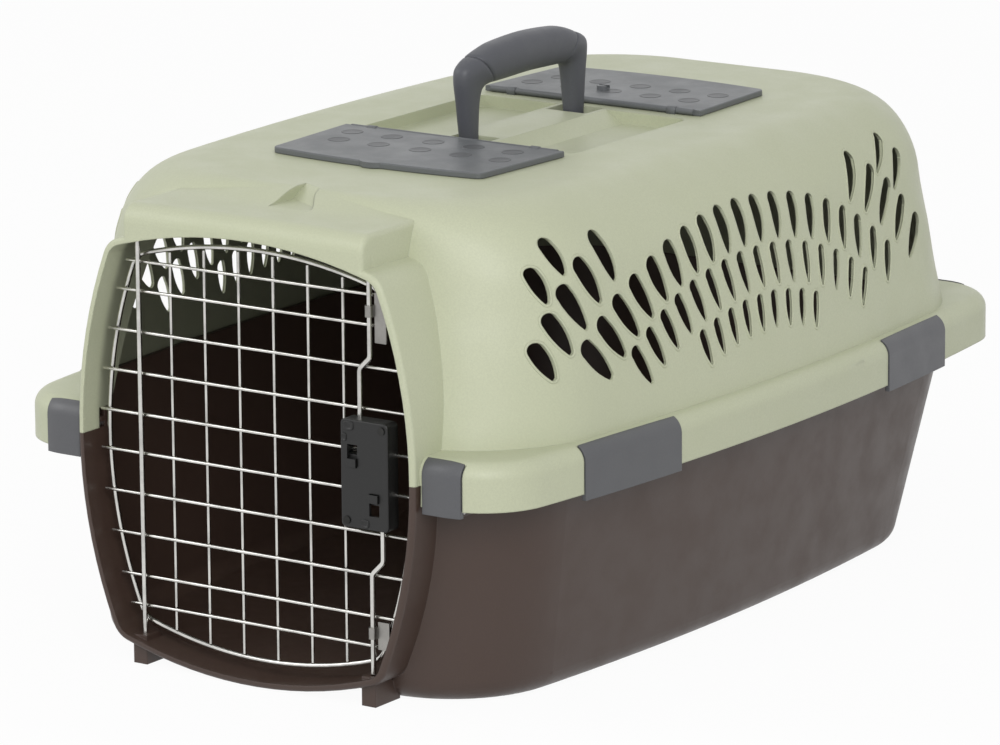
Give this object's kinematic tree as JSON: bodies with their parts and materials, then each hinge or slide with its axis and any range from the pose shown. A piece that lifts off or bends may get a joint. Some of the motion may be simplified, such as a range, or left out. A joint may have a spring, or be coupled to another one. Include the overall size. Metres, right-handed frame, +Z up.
{
  "type": "pet carrier",
  "caption": "Two-piece moulded pet carrier with vented upper shell, hinged wire door with a squeeze latch, snap latches around the flange, roof storage lids and a swinging carry handle.",
  "frame": {"origin": "on the floor under the middle of the whole carrier", "axes": "+X to the carrier's right seen from the door, -Y towards the door end, +Z up"},
  "size_m": [0.402, 0.5918, 0.3526],
  "materials": {
    "sage_shell": "satin moulded, fine grain",
    "brown_tray": "satin moulded, fine grain",
    "slate_plastic": "satin moulded",
    "black_plastic": "semi-gloss moulded",
    "chrome_wire": "bright plated",
    "steel_pins": "plain drawn steel"
  },
  "bodies": {
    "carrier": {"upper_shell": "sage_shell", "lower_tray": "brown_tray", "shell_latch_pins": "steel_pins", "front_lid_pin": "steel_pins", "rear_lid_pin": "steel_pins", "handle_pins": "steel_pins"},
    "door": {"door_frame_wire": "chrome_wire", "door_level_wires": "chrome_wire", "door_upright_wires": "chrome_wire", "door_hinge_rod": "chrome_wire", "latch_housing": "black_plastic", "housing_rivets": "steel_pins", "latch_spring": "steel_pins", "upper_rod_guide": "chrome_wire", "lower_rod_guide": "chrome_wire"},
    "upper_rod": {"upper_latch_rod": "chrome_wire", "upper_finger_slide": "black_plastic"},
    "lower_rod": {"lower_latch_rod": "chrome_wire", "lower_finger_slide": "black_plastic"},
    "front_lid": {"front_lid": "slate_plastic"},
    "rear_lid": {"rear_lid": "slate_plastic"},
    "handle": {"handle_bail": "slate_plastic", "handle_grip": "slate_plastic"},
    "front_right_side_latch": {"front_right_side_latch": "slate_plastic"},
    "front_left_side_latch": {"front_left_side_latch": "slate_plastic"},
    "rear_right_side_latch": {"rear_right_side_latch": "slate_plastic"},
    "rear_left_side_latch": {"rear_left_side_latch": "slate_plastic"},
    "front_right_end_latch": {"front_right_end_latch": "slate_plastic"},
    "front_left_end_latch": {"front_left_end_latch": "slate_plastic"},
    "rear_right_end_latch": {"rear_right_end_latch": "slate_plastic"},
    "rear_left_end_latch": {"rear_left_end_latch": "slate_plastic"}
  },
  "joints": [
    {"name": "door_hinge", "type": "hinge", "parent": "carrier", "child": "door", "pos_m": [-0.084, -0.2856, 0.14], "axis": [0, 0, -1], "range_deg": [0, 150]},
    {"name": "upper_rod_slide", "type": "slide", "parent": "door", "child": "upper_rod", "axis": [0, 0, 1], "range_m": [0, 0.008]},
    {"name": "lower_rod_slide", "type": "slide", "parent": "door", "child": "lower_rod", "axis": [0, 0, -1], "range_m": [0, 0.008]},
    {"name": "front_lid_hinge", "type": "hinge", "parent": "carrier", "child": "front_lid", "pos_m": [0, -0.0749, 0.2964], "axis": [-1, 0, 0], "range_deg": [0, 80]},
    {"name": "rear_lid_hinge", "type": "hinge", "parent": "carrier", "child": "rear_lid", "pos_m": [0, 0.0791, 0.2964], "axis": [1, 0, 0], "range_deg": [0, 80]},
    {"name": "handle_swing", "type": "hinge", "parent": "carrier", "child": "handle", "pos_m": [0, 0.0021, 0.283], "axis": [0, 1, 0], "range_deg": [-30, 30]},
    {"name": "front_right_side_latch_hinge", "type": "hinge", "parent": "carrier", "child": "front_right_side_latch", "pos_m": [0.18581, -0.16772, 0.1262], "axis": [0.0869, 0.9962, 0], "range_deg": [0, 100]},
    {"name": "front_left_side_latch_hinge", "type": "hinge", "parent": "carrier", "child": "front_left_side_latch", "pos_m": [-0.18581, -0.16772, 0.1262], "axis": [0.0869, -0.9962, 0], "range_deg": [0, 100]},
    {"name": "rear_right_side_latch_hinge", "type": "hinge", "parent": "carrier", "child": "rear_right_side_latch", "pos_m": [0.18701, 0.15748, 0.1262], "axis": [-0.0795, 0.9968, 0], "range_deg": [0, 100]},
    {"name": "rear_left_side_latch_hinge", "type": "hinge", "parent": "carrier", "child": "rear_left_side_latch", "pos_m": [-0.18701, 0.15748, 0.1262], "axis": [-0.0795, -0.9968, 0], "range_deg": [0, 100]},
    {"name": "front_right_end_latch_hinge", "type": "hinge", "parent": "carrier", "child": "front_right_end_latch", "pos_m": [0.1395, -0.2831, 0.1262], "axis": [1, 0, 0], "range_deg": [0, 100]},
    {"name": "front_left_end_latch_hinge", "type": "hinge", "parent": "carrier", "child": "front_left_end_latch", "pos_m": [-0.1395, -0.2831, 0.1262], "axis": [1, 0, 0], "range_deg": [0, 100]},
    {"name": "rear_right_end_latch_hinge", "type": "hinge", "parent": "carrier", "child": "rear_right_end_latch", "pos_m": [0.1395, 0.2873, 0.1262], "axis": [-1, 0, 0], "range_deg": [0, 100]},
    {"name": "rear_left_end_latch_hinge", "type": "hinge", "parent": "carrier", "child": "rear_left_end_latch", "pos_m": [-0.1395, 0.2873, 0.1262], "axis": [-1, 0, 0], "range_deg": [0, 100]}
  ],
  "couplings": [
    {"joint": "lower_rod_slide", "follows": "upper_rod_slide", "ratio": 1}
  ]
}
